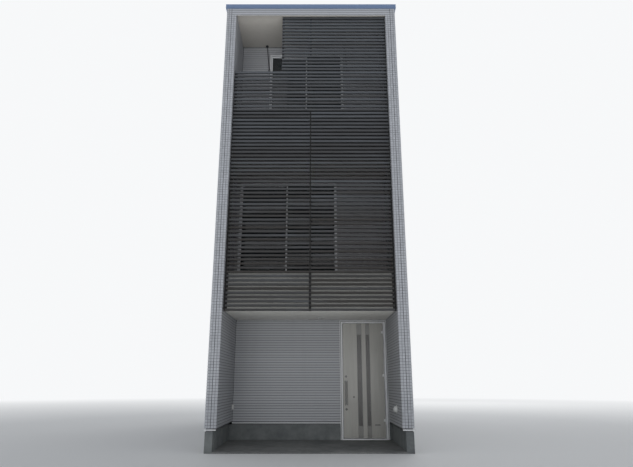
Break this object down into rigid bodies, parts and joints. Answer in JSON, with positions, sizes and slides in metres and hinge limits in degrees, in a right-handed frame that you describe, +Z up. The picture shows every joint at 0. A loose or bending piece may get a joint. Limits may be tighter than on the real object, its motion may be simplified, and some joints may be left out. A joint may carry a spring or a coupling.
{
  "type": "narrow three-storey town house with a slatted timber screen",
  "caption": "Narrow town house with white wing walls, a dark horizontal slat screen before its loggias, an open porch, a hinged entrance door and a low shed roof.",
  "frame": {"origin": "middle of the house's bounding box in plan, on the ground at the underside of the foundation", "axes": "+Z up, front with the screen and the porch towards -Y, +X to the right seen from the street"},
  "size_m": [3.645, 9.278, 8.982],
  "materials": {
    "concrete": "cast concrete, lightly mottled",
    "floor_deck": "plain timber floor structure",
    "white_siding": "matt ceramic siding with fine ribs and mosaic tile corners",
    "soffit_board": "matt painted board",
    "dark_board": "dark matt sheet",
    "roof_metal": "satin coated steel sheet",
    "white_aluminium": "white powder coated aluminium",
    "slat_wood": "dark stained timber, weathered",
    "window_glass": "clear float glass over a dark room",
    "door_panel": "silver white coated steel",
    "brushed_steel": "brushed stainless steel",
    "dark_steel": "dark coated steel rod",
    "white_plastic": "white moulded plastic"
  },
  "bodies": {
    "house": {"foundation_left": "concrete", "foundation_right": "concrete", "foundation_cross_walls": "concrete", "porch_slab": "concrete", "ground_floor": "concrete", "second_floor": "floor_deck", "third_floor": "floor_deck", "side_wall_left": "white_siding", "side_wall_right": "white_siding", "porch_wall": "white_siding", "second_loggia_wall": "white_siding", "third_loggia_wall": "white_siding", "rear_wall": "white_siding", "front_beam": "white_siding", "second_floor_fascia": "soffit_board", "third_floor_fascia": "dark_board", "porch_soffit": "soffit_board", "loggia_ceilings": "soffit_board", "roof_deck": "floor_deck", "roof_sheet": "roof_metal", "roof_front_trim": "roof_metal", "roof_side_trims": "roof_metal", "gutter": "white_aluminium", "downpipe": "white_aluminium", "drip_flashing": "white_aluminium", "screen_top": "slat_wood", "screen_third_storey": "slat_wood", "screen_second_storey": "slat_wood", "screen_floor_band": "slat_wood", "loggia_window_frames": "white_aluminium", "loggia_window_sashes": "white_aluminium", "rear_window_frames": "white_aluminium", "rear_window_sashes": "white_aluminium", "window_glass": "window_glass", "laundry_hangers": "dark_steel", "porch_downlight": "white_plastic", "outlet_box": "white_plastic", "vent_hood": "white_plastic", "door_frame": "white_aluminium", "frame_hinges": "brushed_steel"},
    "door": {"door_leaf": "door_panel", "door_strips": "brushed_steel", "door_glass": "window_glass", "door_handles": "brushed_steel", "door_locks": "brushed_steel", "door_hinges": "brushed_steel"}
  },
  "joints": [
    {"name": "door_hinge", "type": "hinge", "parent": "house", "child": "door", "pos_m": [1.5275, -2.878, 1.23], "axis": [0, 0, 1], "range_deg": [0, 85]}
  ]
}
